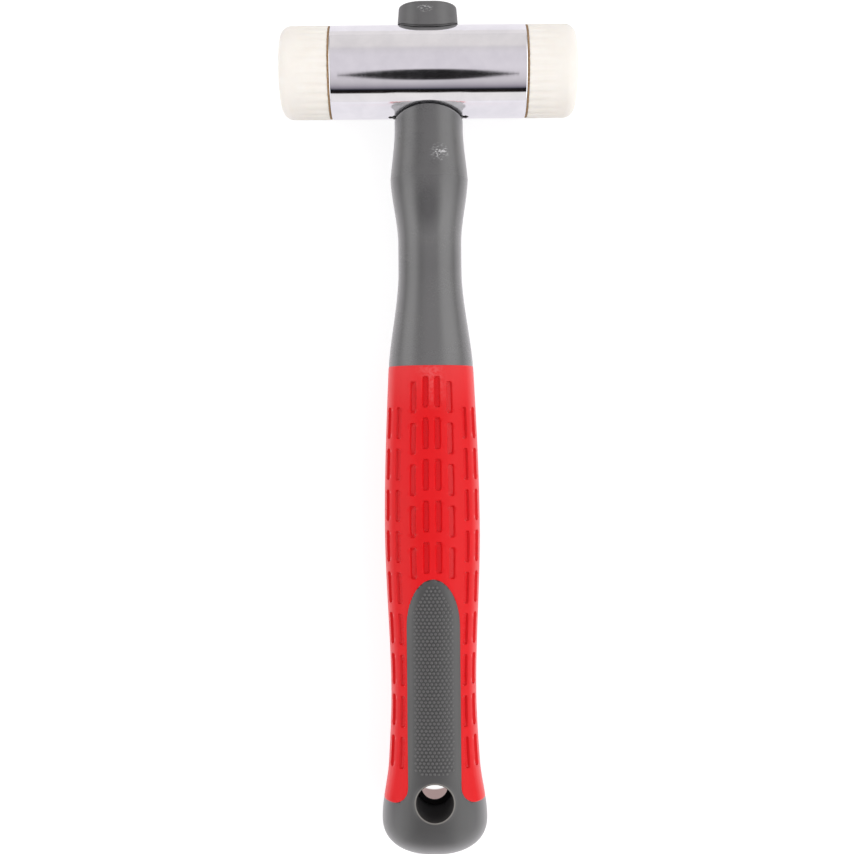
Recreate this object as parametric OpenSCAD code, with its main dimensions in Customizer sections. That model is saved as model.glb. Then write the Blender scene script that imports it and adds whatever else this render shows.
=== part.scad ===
// Soft face hammer with two screw-in nylon faces and a two-shot moulded handle.
// It lies on its side: the head runs along X, the handle along Y with the head at +Y, and up is Z.
// Places along the handle are distances from the head's axis towards the butt.

/* [Head] */
// Diameter of the barrel and of the striking faces
head_d = 32; // [30:0.5:40]
// Length of the barrel between its two end faces
barrel_l = 68; // [64:1:90]
// Round on the edges of the barrel's ends
barrel_round = 0.5; // [0.3:0.1:1.5]
// Width of the round-ended eye that the handle passes through
eye_w = 20; // [17.5:0.1:20.5]
// Thickness of the eye, along Z
eye_t = 16; // [14:0.1:16.4]

/* [Striking faces] */
// Length of a face outside the barrel
face_l = 16.8; // [12:0.2:25]
// Round on a face's striking edge
face_round = 4; // [0.5:0.1:5]
// Flutes round a face's rim
flute_count = 30; // [12:1:40]
// Depth of a flute
flute_depth = 0.3; // [0.1:0.05:0.6]
// Radius of the tool that cuts a flute
flute_r = 1.4; // [0.8:0.1:1.5]
// Length of a flute from the washer
flute_l = 11; // [4:0.5:11.5]
// Diameter of the stud that screws into the barrel
stud_d = 16; // [10:0.5:20]
// Length of the stud behind the face
stud_l = 14.6; // [8:0.2:16]
// Bevel on the stud's tip
stud_bevel = 1.2; // [0.4:0.1:2]
// Thickness of the fibre washer
washer_t = 0.6; // [0.4:0.1:2]
// How far the washer's rim lies under the barrel's
washer_inset = 0.15; // [0.1:0.05:1]
// Room past the stud's tip in the socket
socket_spare = 1; // [0.5:0.1:3]

/* [Handle outline] */
// Width at the head
neck_w = 24; // [22:0.1:28]
// Thickness at the head
neck_t = 20.8; // [20.6:0.1:26]
// Place where the straight neck under the head ends
neck_end = 20; // [17:0.5:26]
// Place of the bulge
bulge_at = 39; // [30:0.5:45]
// Width of the bulge
bulge_w = 27.2; // [24:0.1:32]
// Thickness of the bulge
bulge_t = 22.8; // [21:0.1:28]
// Place where the waist begins
waist_at = 60.5; // [52:0.5:66]
// Length of the straight waist
waist_l = 9; // [2:0.5:15]
// Width of the waist
waist_w = 22.2; // [19:0.1:26]
// Thickness of the waist
waist_t = 19.6; // [17:0.1:24]
// Place of the shoulder at the top of the grip
shoulder_at = 106; // [98:0.5:115]
// Width of the shoulder
shoulder_w = 30; // [26:0.1:33]
// Thickness of the shoulder
shoulder_t = 25.4; // [22:0.1:30]
// Place of the palm swell
palm_at = 160; // [140:0.5:175]
// Width of the palm swell
palm_w = 33.4; // [30:0.1:38]
// Thickness of the palm swell
palm_t = 28.2; // [25:0.1:31]
// Place of the pinch below the palm
pinch_at = 217; // [200:0.5:228]
// Width of the pinch
pinch_w = 29.9; // [26:0.1:34]
// Thickness of the pinch
pinch_t = 25.6; // [22:0.1:30]
// Place where the butt begins to flare
flare_at = 242; // [232:0.5:250]
// Width there
flare_w = 32; // [30:0.1:36]
// Thickness there
flare_t = 26.2; // [24:0.1:30]
// Place of the butt's widest point
butt_at = 261.5; // [256:0.5:266]
// Width of the butt
butt_w = 36.8; // [32:0.1:42]
// Thickness of the butt
butt_t = 27; // [24:0.1:31]
// Place of the butt's end
butt_end = 274.2; // [271:0.1:282]

/* [Top plug] */
// Width of the round-ended plug over the eye, where it leaves the barrel
plug_w = 21.3; // [20.8:0.1:24]
// Thickness of the plug there
plug_t = 17; // [16.6:0.1:20]
// Draft of the plug's wall in degrees
plug_draft = 4; // [0:0.5:6]
// Height of the plug's top above the head's axis
plug_top = 22.7; // [21:0.1:30]
// Round on the plug's top edge
plug_round = 0.8; // [0.5:0.1:2]

/* [Grip sleeve] */
// Thickness of the soft sleeve
sleeve_wall = 2.4; // [1.8:0.1:4]
// Place of the sleeve's top edge
sleeve_top = 103.6; // [96:0.2:112]
// Place of the sleeve's lower ends
sleeve_end = 254.4; // [248:0.2:258]
// Place of the tongue panel's tip
tongue_tip = 176.9; // [165:0.1:200]
// Width of the tongue panel
tongue_w = 18.4; // [12:0.2:19]
// Length of the tongue's rounded tip
tongue_tip_l = 16.5; // [6:0.5:22]
// Radius of the inner corners of the sleeve's lower ends
lobe_r = 5.8; // [3:0.1:8]

/* [Grip slots] */
// Length of a slot
slot_l = 11; // [6:0.1:13]
// Width of a slot
slot_w = 2.2; // [1:0.1:3]
// Depth of a slot
slot_depth = 0.8; // [0.2:0.1:1.2]
// Distance from one slot to the next in a column
slot_pitch = 14.2; // [13:0.1:15]
// Slots in a column on the front
front_rows = 5; // [1:1:5]
// Slots in a column on the sides
side_rows = 9; // [1:1:9]
// Place of the first slot's upper end in the middle columns
middle_first = 107.2; // [105:0.1:112]
// How much lower the next columns start
stagger = 1.9; // [0:0.1:6]
// Place of the first slot's upper end in the side columns
side_first = 117.9; // [108:0.1:122]
// Angle of the middle columns from the front
middle_angle = 6.3; // [5.5:0.1:9]
// Angle of the columns beside them
next_angle = 21.8; // [18:0.1:30]
// Angle of the inner side columns
inner_angle = 43.8; // [40:0.1:52]
// Angle of the outer side columns
outer_angle = 66; // [60:0.1:75]

/* [Lanyard hole] */
// Diameter of the lanyard hole
lanyard_d = 12.8; // [6:0.1:15]
// Place of the lanyard hole
lanyard_at = 253.6; // [250:0.1:258]

/* [Core rod] */
// Diameter of the fibreglass rod
rod_d = 10; // [6:0.5:12]
// Plastic over the rod's upper end
rod_cover = 5; // [2:0.5:10]
// Place of the rod's lower end
rod_end = 234; // [200:1:240]

/* [Fits] */
// Clearance between the stud and its socket, on the radius
thread_gap = 0.05; // [0.02:0.01:0.1]
// Clearance between the washer and the stud, on the radius
washer_gap = 0.08; // [0.02:0.01:0.1]
// Clearance between the moulded handle and the barrel
seat_gap = 0.05; // [0.02:0.01:0.1]
// Clearance between the rod and the moulding round it, on the radius
rod_gap = 0.02; // [0.01:0.01:0.1]

/* [Hidden] */
$fn = 64;

head_r = head_d / 2;
overall_l = plug_top + butt_end;
head_y = overall_l / 2 - plug_top;
face_from = barrel_l / 2 + washer_t;
socket_depth = stud_l - washer_t + socket_spare;
// Cutters and hidden ends run this far past what they cut
past = 1;
// Half the size of a block that takes in the whole handle's section
reach = max(palm_w, butt_w);

// The handle's section and the butt's end are superellipses, a little squarer than an ellipse
squareness = 2.2;
end_squareness = 2.3;
sides = 40;
ring_step = 6.8;
cap_rings = 7;

// Stations down the handle: place, width, thickness
stations = [
  [0, neck_w, neck_t],
  [neck_end, neck_w, neck_t],
  [bulge_at, bulge_w, bulge_t],
  [waist_at, waist_w, waist_t],
  [waist_at + waist_l, waist_w, waist_t],
  [shoulder_at, shoulder_w, shoulder_t],
  [palm_at, palm_w, palm_t],
  [pinch_at, pinch_w, pinch_t],
  [flare_at, flare_w, flare_t],
  [butt_at, butt_w, butt_t]
];
last = len(stations) - 1;

// Rate of change of column k between station i and the next
function rise(i, k) =
  (stations[i + 1][k] - stations[i][k]) / (stations[i + 1][0] - stations[i][0]);

// Slope at a station: level at a swell or a waist and at the ends, else the harmonic mean of its neighbours
function slope(i, k) =
  i == 0 || i == last || rise(i - 1, k) * rise(i, k) <= 0 ? 0 :
  2 * rise(i - 1, k) * rise(i, k) / (rise(i - 1, k) + rise(i, k));

function span(at, i = 0) = i >= last - 1 || at < stations[i + 1][0] ? i : span(at, i + 1);

// Smooth curve through column k of the stations
function through(at, k) =
  let (i = span(at),
       long = stations[i + 1][0] - stations[i][0],
       t = (at - stations[i][0]) / long,
       p = stations[i][k],
       q = stations[i + 1][k])
  p + (q - p) * t * t * (3 - 2 * t)
    + long * t * (1 - t) * (slope(i, k) * (1 - t) - slope(i + 1, k) * t);

// The butt closes like a superellipse past its widest point
function closing(at) =
  at <= butt_at ? 1 :
  pow(1 - pow((at - butt_at) / (butt_end - butt_at), end_squareness), 1 / end_squareness);

function half_w(at) = through(min(at, butt_at), 1) / 2 * closing(at);
function half_t(at) = through(min(at, butt_at), 2) / 2 * closing(at);

function rounded(v) = sign(v) * pow(abs(v), 2 / squareness);

// Point of the handle's skin: angle from the front, place, and depth under the skin
function skin(angle, at, under = 0) =
  [(half_w(at) - under) * rounded(sin(angle)), head_y - at, (half_t(at) - under) * rounded(cos(angle))];

// Places of the rings of a loft from one place to another, with the butt's rounded end where it is reached
function places(from, to) =
  let (stop = min(to, butt_at),
       steps = ceil((stop - from) / ring_step))
  concat([for (i = [0 : steps]) from + (stop - from) * i / steps],
         to > butt_at ? [for (i = [1 : cap_rings]) butt_at + (to - butt_at) * sin(84 * i / cap_rings)] : []);

// Solid between two places, its skin lying a given depth under the handle's own
module loft(from, to, under = 0) {
  at = places(from, to);
  rings = len(at);
  points = [for (a = at) for (s = [0 : sides - 1]) skin(360 * (s + 0.5) / sides, a, under)];
  first_cap = [for (s = [sides - 1 : -1 : 0]) s];
  last_cap = [for (s = [0 : sides - 1]) (rings - 1) * sides + s];
  walls = [for (r = [0 : rings - 2]) for (s = [0 : sides - 1])
           let (next = (s + 1) % sides,
                a = r * sides + s,
                b = r * sides + next,
                c = a + sides,
                d = b + sides)
           each [[a, b, c], [b, d, c]]];
  translate([0, 0, head_r])
    polyhedron(points, concat([first_cap], [last_cap], walls));
}

// Cylinder along the head, centred on its axis
module head_round(r, l) {
  translate([0, head_y, head_r])
    rotate([0, 90, 0])
      cylinder(r = r, h = l, center = true);
}

// Cylinder along the handle from one place to another
module handle_round(r, from, to) {
  translate([0, head_y - from, head_r])
    rotate([90, 0, 0])
      cylinder(r = r, h = to - from);
}

// Bar along the handle from one place to another, with the section that is given
module handle_bar(from, to) {
  translate([0, head_y - from, head_r])
    rotate([90, 0, 0])
      linear_extrude(to - from)
        children();
}

// Outline with round ends
module round_ended(w, t) {
  square([w - t, t], center = true);
  for (end = [-1, 1])
    translate([end * (w - t) / 2, 0])
      circle(t / 2);
}

// Puts a shape drawn along Z at the barrel's right or left end, with Z = 0 on the head's middle
module at_end(side) {
  translate([0, head_y, head_r])
    rotate([0, side * 90, 0])
      children();
}

// Half profile of a round bar with a rounded edge at its top
module rounded_bar(r, l, edge) {
  square([r - edge, l]);
  square([r, l - edge]);
  translate([r - edge, l - edge])
    circle(edge);
}

// Half profile of a round bar with a bevelled top
module bevelled_bar(r, l, edge) {
  polygon([[0, 0], [r, 0], [r, l - edge], [r - edge, l], [0, l]]);
}

// Half profile of the barrel, rounded at both ends
module barrel_profile() {
  rounded_bar(head_r, barrel_l / 2, barrel_round);
  mirror([0, 1])
    rounded_bar(head_r, barrel_l / 2, barrel_round);
}

module head_barrel() {
  color("gainsboro")
    difference() {
      at_end(1)
        rotate_extrude()
          barrel_profile();
      handle_bar(-head_r - past, head_r + past)
        round_ended(eye_w, eye_t);
      for (side = [-1, 1])
        at_end(side)
          translate([0, 0, barrel_l / 2 - socket_depth])
            cylinder(r = stud_d / 2 + thread_gap, h = socket_depth + past);
    }
}

// Striking face drawn along Z from its washer, with its stud pointing down
module face() {
  difference() {
    rotate_extrude()
      rounded_bar(head_r, face_l, face_round);
    for (i = [0 : flute_count - 1])
      rotate(360 * i / flute_count)
        translate([head_r - flute_depth + flute_r, 0, 0]) {
          translate([0, 0, -past])
            cylinder(r = flute_r, h = past + flute_l - flute_r);
          translate([0, 0, flute_l - flute_r])
            sphere(flute_r);
        }
  }
  translate([0, 0, past])
    mirror([0, 0, 1])
      rotate_extrude()
        bevelled_bar(stud_d / 2, past + stud_l, stud_bevel);
}

module face_at(side) {
  color("linen")
    at_end(side)
      translate([0, 0, face_from])
        face();
}

module washer_at(side) {
  color("peru")
    at_end(side)
      translate([0, 0, barrel_l / 2])
        difference() {
          cylinder(r = head_r - washer_inset, h = washer_t);
          translate([0, 0, -past])
            cylinder(r = stud_d / 2 + washer_gap, h = washer_t + 2 * past);
        }
}

module left_face() {
  face_at(-1);
}

module right_face() {
  face_at(1);
}

module left_washer() {
  washer_at(-1);
}

module right_washer() {
  washer_at(1);
}

module core_rod() {
  color("khaki")
    handle_round(rod_d / 2, rod_cover - plug_top, rod_end);
}

// Front view of the tongue panel: a half ellipse at its tip, then straight sides
module tongue_outline() {
  steps = 16;
  middle = tongue_tip + tongue_tip_l;
  tip = [for (i = [0 : steps]) [tongue_w / 2 * cos(180 * i / steps),
                                head_y - middle + tongue_tip_l * sin(180 * i / steps)]];
  polygon(concat(tip, [[-tongue_w / 2, head_y - sleeve_end], [tongue_w / 2, head_y - sleeve_end]]));
}

// Front view of what the sleeve covers: all round above the tongue, and a lobe with a round inner corner on
// either side of it
module sleeve_outline() {
  lobe_x = tongue_w / 2 + lobe_r;
  lobe_at = sleeve_end - lobe_r;
  difference() {
    translate([-reach, head_y - lobe_at])
      square([2 * reach, lobe_at - sleeve_top]);
    tongue_outline();
  }
  for (side = [0, 1])
    mirror([side, 0]) {
      translate([lobe_x, head_y - lobe_at])
        circle(lobe_r);
      translate([lobe_x, head_y - sleeve_end])
        square([reach - lobe_x, lobe_r + past]);
    }
}

module sleeve_zone() {
  translate([0, 0, head_r - reach])
    linear_extrude(2 * reach)
      sleeve_outline();
}

// Body of the grip inside the sleeve
module grip_core() {
  loft(sleeve_top - ring_step, sleeve_end + lobe_r / 2, sleeve_wall);
}

module handle_jacket() {
  color("dimgray")
    difference() {
      union() {
        difference() {
          loft(0, butt_end);
          head_round(head_r + seat_gap, barrel_l);
          difference() {
            sleeve_zone();
            grip_core();
          }
        }
        handle_bar(-head_r - past, head_r + past)
          round_ended(eye_w - 2 * seat_gap, eye_t - 2 * seat_gap);
        plug();
      }
      handle_round(rod_d / 2 + rod_gap, rod_cover - plug_top, rod_end);
      translate([0, head_y - lanyard_at, head_r - reach])
        cylinder(r = lanyard_d / 2, h = 2 * reach);
    }
}

// Half profile of the plug's round ends, with draft and a rounded top edge
module plug_profile() {
  lean = tan(plug_draft);
  edge = plug_top - plug_round;
  foot = plug_t / 2 + head_r * lean;
  top = plug_t / 2 - (edge - head_r) * lean;
  polygon([[0, 0], [foot, 0], [top, edge], [top - plug_round, plug_top], [0, plug_top]]);
  translate([top - plug_round, edge])
    circle(plug_round);
}

// Plug over the eye, its foot shaped to the barrel
module plug() {
  difference() {
    translate([0, head_y, head_r])
      rotate([-90, 0, 0])
        hull()
          for (end = [-1, 1])
            translate([end * (plug_w - plug_t) / 2, 0, 0])
              rotate_extrude($fn = 32)
                plug_profile($fn = 32);
    head_round(head_r + seat_gap, barrel_l);
  }
}

// Round-ended cutter for one slot, square to the skin at its middle
module slot(angle, first) {
  at = first + slot_l / 2;
  small = 0.5;
  p = skin(angle, at);
  across = skin(angle + small, at) - skin(angle - small, at);
  along = skin(angle, at - small) - skin(angle, at + small);
  lean = atan2(across[2], across[0]);
  out = along[0] * -sin(lean) + along[2] * cos(lean);
  translate([p[0], p[1], p[2] + head_r])
    rotate([0, -lean, 0])
      rotate([atan2(out, along[1]), 0, 0])
        translate([0, 0, -slot_depth])
          linear_extrude(slot_depth + slot_w)
            rotate(90)
              round_ended(slot_l, slot_w);
}

// One column of slots, repeated to the left, to the right, on the front and on the back
module slot_columns(angle, first, rows) {
  for (column = [angle, -angle, 180 - angle, 180 + angle])
    for (row = [0 : rows - 1])
      slot(column, first + row * slot_pitch);
}

module grip_sleeve() {
  color("crimson")
    difference() {
      intersection() {
        loft(0, butt_end);
        sleeve_zone();
      }
      grip_core();
      slot_columns(middle_angle, middle_first, front_rows);
      slot_columns(next_angle, middle_first + stagger, front_rows);
      slot_columns(inner_angle, side_first, side_rows);
      slot_columns(outer_angle, side_first, side_rows);
    }
}

head_barrel();
left_face();
right_face();
left_washer();
right_washer();
core_rod();
handle_jacket();
grip_sleeve();
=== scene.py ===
import math

import bmesh
import bpy
import numpy as np
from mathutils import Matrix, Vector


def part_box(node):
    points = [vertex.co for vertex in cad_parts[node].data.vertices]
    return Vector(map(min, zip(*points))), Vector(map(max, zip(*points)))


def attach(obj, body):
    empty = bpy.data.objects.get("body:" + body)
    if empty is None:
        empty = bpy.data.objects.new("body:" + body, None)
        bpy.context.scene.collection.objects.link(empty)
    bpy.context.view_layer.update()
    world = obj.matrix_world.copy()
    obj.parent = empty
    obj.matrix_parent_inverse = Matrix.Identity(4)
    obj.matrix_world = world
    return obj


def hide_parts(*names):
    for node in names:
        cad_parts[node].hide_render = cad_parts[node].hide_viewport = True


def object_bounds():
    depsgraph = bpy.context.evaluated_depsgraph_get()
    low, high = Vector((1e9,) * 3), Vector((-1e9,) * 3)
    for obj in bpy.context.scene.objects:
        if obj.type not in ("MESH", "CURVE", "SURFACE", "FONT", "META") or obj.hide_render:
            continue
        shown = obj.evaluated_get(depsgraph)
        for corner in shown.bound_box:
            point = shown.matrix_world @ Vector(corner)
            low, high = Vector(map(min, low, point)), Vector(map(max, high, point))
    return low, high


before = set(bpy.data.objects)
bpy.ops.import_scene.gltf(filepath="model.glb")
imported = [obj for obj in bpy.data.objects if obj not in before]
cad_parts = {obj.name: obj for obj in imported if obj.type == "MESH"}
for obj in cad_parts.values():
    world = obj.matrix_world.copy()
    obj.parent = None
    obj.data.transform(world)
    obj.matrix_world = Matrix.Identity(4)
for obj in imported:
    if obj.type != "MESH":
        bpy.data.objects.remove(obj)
cadLow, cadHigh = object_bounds()
scene = bpy.context.scene
scene.view_settings.view_transform = "Standard"

# shapes are worked out in millimetres from the head's middle: x to the right, at towards the butt, z up
mm = 0.001
barrelLow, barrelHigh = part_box("head_barrel")
headY = (barrelLow.y + barrelHigh.y) / 2
headZ = (barrelLow.z + barrelHigh.z) / 2
headRadius = (barrelHigh.z - barrelLow.z) / 2 / mm
barrelHalf = barrelHigh.x / mm
weldDistance = 1e-6  # metres; grid points closer than this become one
sharpAngle = 38      # degrees; edges that bend more than this are shaded sharp
endless = 1000.0     # millimetres; a spot of this depth reaches right through the part
print("frame loaded: head radius %.1f mm, barrel %.1f mm long" % (headRadius, 2 * barrelHalf))


def toFrame(x, at, z):
    # millimetres from the head's middle become metres in the shared frame
    x, at, z = np.broadcast_arrays(x, at, z)
    return np.stack([x * mm, headY - at * mm, headZ + z * mm], axis=-1)


def between(first, last, steps):
    # rows that run evenly from one row to another, both included
    share = np.linspace(0, 1, steps)[:, None]
    return (1 - share) * np.asarray(first) + share * np.asarray(last)


def smoothStep(value):
    # 0 below 0, 1 above 1, and 3t2 - 2t3 between
    t = np.clip(value, 0, 1)
    return t * t * (3 - 2 * t)


def gridFaces(shape, start):
    # one quad for each cell of a grid, or of each grid in a batch
    index = np.arange(np.prod(shape)).reshape(-1, *shape[-2:]) + start
    corners = [index[:, :-1, :-1], index[:, 1:, :-1], index[:, 1:, 1:], index[:, :-1, 1:]]
    return np.stack(corners, axis=-1).reshape(-1, 4)


def buildPiece(name, patches, material, body, node, fields=None):
    # grid patches are laid in one mesh, welded where their rims meet, and turned to face outwards;
    # each field is a value for every grid point that a material reads
    counts = [patch[..., 0].size for patch in patches]
    starts = np.concatenate([[0], np.cumsum(counts)[:-1]])
    points = np.concatenate([patch.reshape(-1, 3) for patch in patches])
    faces = np.concatenate([gridFaces(patch.shape[:-1], start) for patch, start in zip(patches, starts)])
    mesh = bpy.data.meshes.new(name)
    mesh.from_pydata(points.tolist(), [], faces.tolist())
    for key, values in (fields or {}).items():
        layer = mesh.attributes.new(key, "FLOAT", "POINT")
        flat = np.concatenate([value.ravel() for value in values])
        layer.data.foreach_set("value", flat.astype(np.float32))
    work = bmesh.new()
    work.from_mesh(mesh)
    bmesh.ops.remove_doubles(work, verts=work.verts, dist=weldDistance)
    bmesh.ops.recalc_face_normals(work, faces=work.faces)
    openEdges = sum(1 for edge in work.edges if len(edge.link_faces) != 2)
    work.to_mesh(mesh)
    work.free()
    mesh.shade_smooth()
    mesh.set_sharp_from_angle(angle=math.radians(sharpAngle))
    mesh.materials.append(material)
    piece = bpy.data.objects.new(name, mesh)
    scene.collection.objects.link(piece)
    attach(piece, body)
    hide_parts(node)
    print("%s: %d faces, %d open edges" % (name, len(mesh.polygons), openEdges))


def windowRim(rows, columns):
    # the row and column values met on one trip round the rim of a rectangular window in a grid
    down, across = len(rows) - 1, len(columns) - 1
    rowTrip = [np.full(across, rows[0]), rows[:-1], np.full(across, rows[-1]), rows[:0:-1], rows[:1]]
    columnTrip = [columns[:-1], np.full(down, columns[-1]), columns[:0:-1], np.full(down, columns[0]),
                  columns[:1]]
    return np.concatenate(rowTrip), np.concatenate(columnTrip)


def roundEnded(radius, turn, stretch):
    # outline of two half circles moved apart along the first axis: turn in radians from the second axis
    across = np.sin(turn)
    apart = stretch * np.sign(np.where(np.abs(across) < 1e-9, 0, across))
    return radius * across + apart, radius * np.cos(turn)


def towardsHole(a, b, radius, steps, stretch=0.0):
    # rings from a window's rim to a round-ended hole: every rim point runs straight to the hole's edge
    holeA, holeB = roundEnded(radius, np.arctan2(a, b), stretch)
    return between(a, holeA, steps), between(b, holeB, steps)


# materials

def addNode(tree, kind, inputs=None, **settings):
    node = tree.nodes.new(kind)
    for key, value in settings.items():
        setattr(node, key, value)
    for key, value in (inputs or {}).items():
        if isinstance(value, bpy.types.NodeSocket):
            tree.links.new(value, node.inputs[key])
        else:
            node.inputs[key].default_value = value
    return node


def newFinish(name):
    material = bpy.data.materials.new(name)
    material.use_nodes = True
    tree = material.node_tree
    shader = tree.nodes["Principled BSDF"]
    place = tree.nodes.new("ShaderNodeTexCoord").outputs["Object"]
    return material, tree, shader, place


def noiseOf(tree, place, scale, detail=4.0, roughness=0.55):
    node = addNode(tree, "ShaderNodeTexNoise", {"Vector": place, "Scale": scale, "Detail": detail,
                                                "Roughness": roughness})
    return node.outputs["Fac"]


def spread(tree, value, low, high, toLow, toHigh):
    # maps a value from one range to another, kept inside it
    node = addNode(tree, "ShaderNodeMapRange", {"Value": value, "From Min": low, "From Max": high,
                                                "To Min": toLow, "To Max": toHigh})
    return node.outputs["Result"]


def mixColour(tree, share, first, second):
    return addNode(tree, "ShaderNodeMix", {0: share, 6: first, 7: second}, data_type="RGBA").outputs[2]


def mottled(tree, noise, width, dark, light):
    # two colours mixed by a noise, each one pure beyond this distance from the noise's middle value
    return mixColour(tree, spread(tree, noise, 0.5 - width, 0.5 + width, 0.0, 1.0), dark, light)


def combine(tree, operation, first, second=0.0):
    return addNode(tree, "ShaderNodeMath", {0: first, 1: second}, operation=operation).outputs[0]


def vectorMath(tree, operation, first, second):
    return addNode(tree, "ShaderNodeVectorMath", {0: first, 1: second}, operation=operation).outputs["Vector"]


def stretched(tree, place, scale, turn=(0, 0, 0)):
    # places turned and scaled, for a pattern of streaks
    node = addNode(tree, "ShaderNodeMapping", {"Vector": place, "Rotation": turn, "Scale": scale})
    return node.outputs["Vector"]


def alongHandle(tree, place):
    return addNode(tree, "ShaderNodeSeparateXYZ", {0: place}).outputs["Y"]


def fieldOf(tree, name):
    # a value that buildPiece stored for every point
    return addNode(tree, "ShaderNodeAttribute", attribute_name=name).outputs["Fac"]


def raised(tree, height, strength, distance):
    node = addNode(tree, "ShaderNodeBump", {"Height": height, "Strength": strength, "Distance": distance})
    return node.outputs["Normal"]


def finishShader(tree, shader, links, **constants):
    for key, socket in links.items():
        tree.links.new(socket, shader.inputs[key])
    for key, value in constants.items():
        shader.inputs[key.replace("_", " ")].default_value = value


def spotMask(tree, place, centre, size, full=0.35):
    # 1 in the middle of a spot, fading to 0 at its rim: middle and half sizes in millimetres
    away = vectorMath(tree, "SUBTRACT", place, tuple(toFrame(*centre)))
    scaled = vectorMath(tree, "MULTIPLY", away, tuple(1 / (part * mm) for part in size))
    long = addNode(tree, "ShaderNodeVectorMath", {0: scaled}, operation="LENGTH").outputs["Value"]
    return spread(tree, long, full, 1.0, 1.0, 0.0)


def paintedRimSheen(tree, colour, sheen, where):
    # painted sheen: the colour is mixed paler where the skin turns edge on: from and to how far it turns
    # away, the most and the pale colour
    low, high, most, pale = sheen
    away = addNode(tree, "ShaderNodeLayerWeight", {"Blend": 0.5}).outputs["Facing"]
    share = combine(tree, "MULTIPLY", where, spread(tree, away, low, high, 0.0, most))
    return mixColour(tree, share, colour, pale)


def mouldedSkin(tree, place, finish):
    # a skin's two cloudy tones, its roughness, and the bump of its fine grain
    cloud = noiseOf(tree, place, finish["cloudScale"], detail=3.0)
    grain = noiseOf(tree, place, finish["grainScale"], detail=3.0)
    colour = mottled(tree, cloud, 0.2, finish["dark"], finish["light"])
    rough = spread(tree, combine(tree, "ADD", cloud, grain), 0.7, 1.3, *finish["rough"])
    return colour, rough, raised(tree, grain, *finish["bump"])


chromeFinish = {
    "light": (0.90, 0.90, 0.92, 1),
    "dark": (0.83, 0.83, 0.855, 1),
    "cloudScale": 120.0,
    "polishStretch": (900.0, 60.0, 60.0),
    "polishScale": 4.0,
    "rough": (0.045, 0.085),
    "bump": (0.012, 0.0001),  # strength, and depth in metres, here and below
}


def chromePlate():
    # bright plating: faint cloudiness, fine polishing lines round the barrel
    material, tree, shader, place = newFinish("chromePlate")
    finish = chromeFinish
    cloud = noiseOf(tree, place, finish["cloudScale"])
    polish = noiseOf(tree, stretched(tree, place, finish["polishStretch"]), finish["polishScale"], detail=2.0)
    colour = mottled(tree, cloud, 0.15, finish["dark"], finish["light"])
    rough = spread(tree, combine(tree, "ADD", cloud, polish), 0.6, 1.4, *finish["rough"])
    bump = raised(tree, polish, *finish["bump"])
    finishShader(tree, shader, {"Base Color": colour, "Roughness": rough, "Normal": bump}, Metallic=1.0)
    return material


nylonFinish = {
    "pale": (0.917, 0.893, 0.828, 1),
    "deep": (0.892, 0.858, 0.785, 1),
    "mottleScale": 160.0,
    "grainScale": 5000.0,
    "rough": (0.38, 0.5),
    "bump": (0.08, 0.00005),
    "inner": 0.12,            # share of the light that spreads under the skin, and how far in metres
    "innerReach": 0.0015,
}


def creamNylon():
    # moulded nylon: faint mottling and a fine satin grain
    material, tree, shader, place = newFinish("creamNylon")
    finish = nylonFinish
    mottle = noiseOf(tree, place, finish["mottleScale"], detail=3.0)
    grain = noiseOf(tree, place, finish["grainScale"], detail=2.0)
    colour = mottled(tree, mottle, 0.2, finish["deep"], finish["pale"])
    rough = spread(tree, grain, 0.3, 0.7, *finish["rough"])
    bump = raised(tree, grain, *finish["bump"])
    finishShader(tree, shader, {"Base Color": colour, "Roughness": rough, "Normal": bump},
                 Subsurface_Weight=finish["inner"], Subsurface_Scale=finish["innerReach"],
                 Subsurface_Radius=(1.0, 0.8, 0.6))
    return material


fibreFinish = {
    "light": (0.44, 0.295, 0.165, 1),
    "dark": (0.20, 0.115, 0.050, 1),
    "strandScale": 1400.0,
    "bump": (0.4, 0.0001),
}


def washerFibre():
    # pressed fibre: brown with darker strands
    material, tree, shader, place = newFinish("washerFibre")
    strand = noiseOf(tree, place, fibreFinish["strandScale"], detail=6.0, roughness=0.7)
    colour = mottled(tree, strand, 0.15, fibreFinish["dark"], fibreFinish["light"])
    bump = raised(tree, strand, *fibreFinish["bump"])
    finishShader(tree, shader, {"Base Color": colour, "Normal": bump}, Roughness=0.85)
    return material


rodFinish = {
    "light": (0.62, 0.56, 0.33, 1),
    "dark": (0.42, 0.36, 0.17, 1),
    "strands": (3000.0, 30.0, 3000.0),
    "rough": (0.25, 0.45),
    "bump": (0.2, 0.0001),
}


def rodFibreglass():
    # pulled fibreglass: fine strands along the rod in a yellowish resin
    material, tree, shader, place = newFinish("rodFibreglass")
    strand = noiseOf(tree, stretched(tree, place, rodFinish["strands"]), 1.0)
    colour = mottled(tree, strand, 0.15, rodFinish["dark"], rodFinish["light"])
    rough = spread(tree, strand, 0.3, 0.7, *rodFinish["rough"])
    bump = raised(tree, strand, *rodFinish["bump"])
    finishShader(tree, shader, {"Base Color": colour, "Roughness": rough, "Normal": bump})
    return material


holeShape = {
    "at": 253.6,
    "radius": 6.4,       # at the front; the wall has draft, so it is smaller at the back
    "backRadius": 6.15,
    "rim": 0.4,          # round on the rim
    "bead": 0.14,        # height of the low bead round it
    "beadWidth": 1.0,
    "web": 4.7,          # radius of the opening in the thin web near the back
    "webSides": (-7.8, -8.7),  # heights of its two sides
    "wallRow": 6.0,      # height above the web of a row of points on the wall
    "windowTop": 245.2,  # the grid window that the hole's rings fill
    "windowEnd": 262.0,
    "windowColumns": 13,
}

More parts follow.
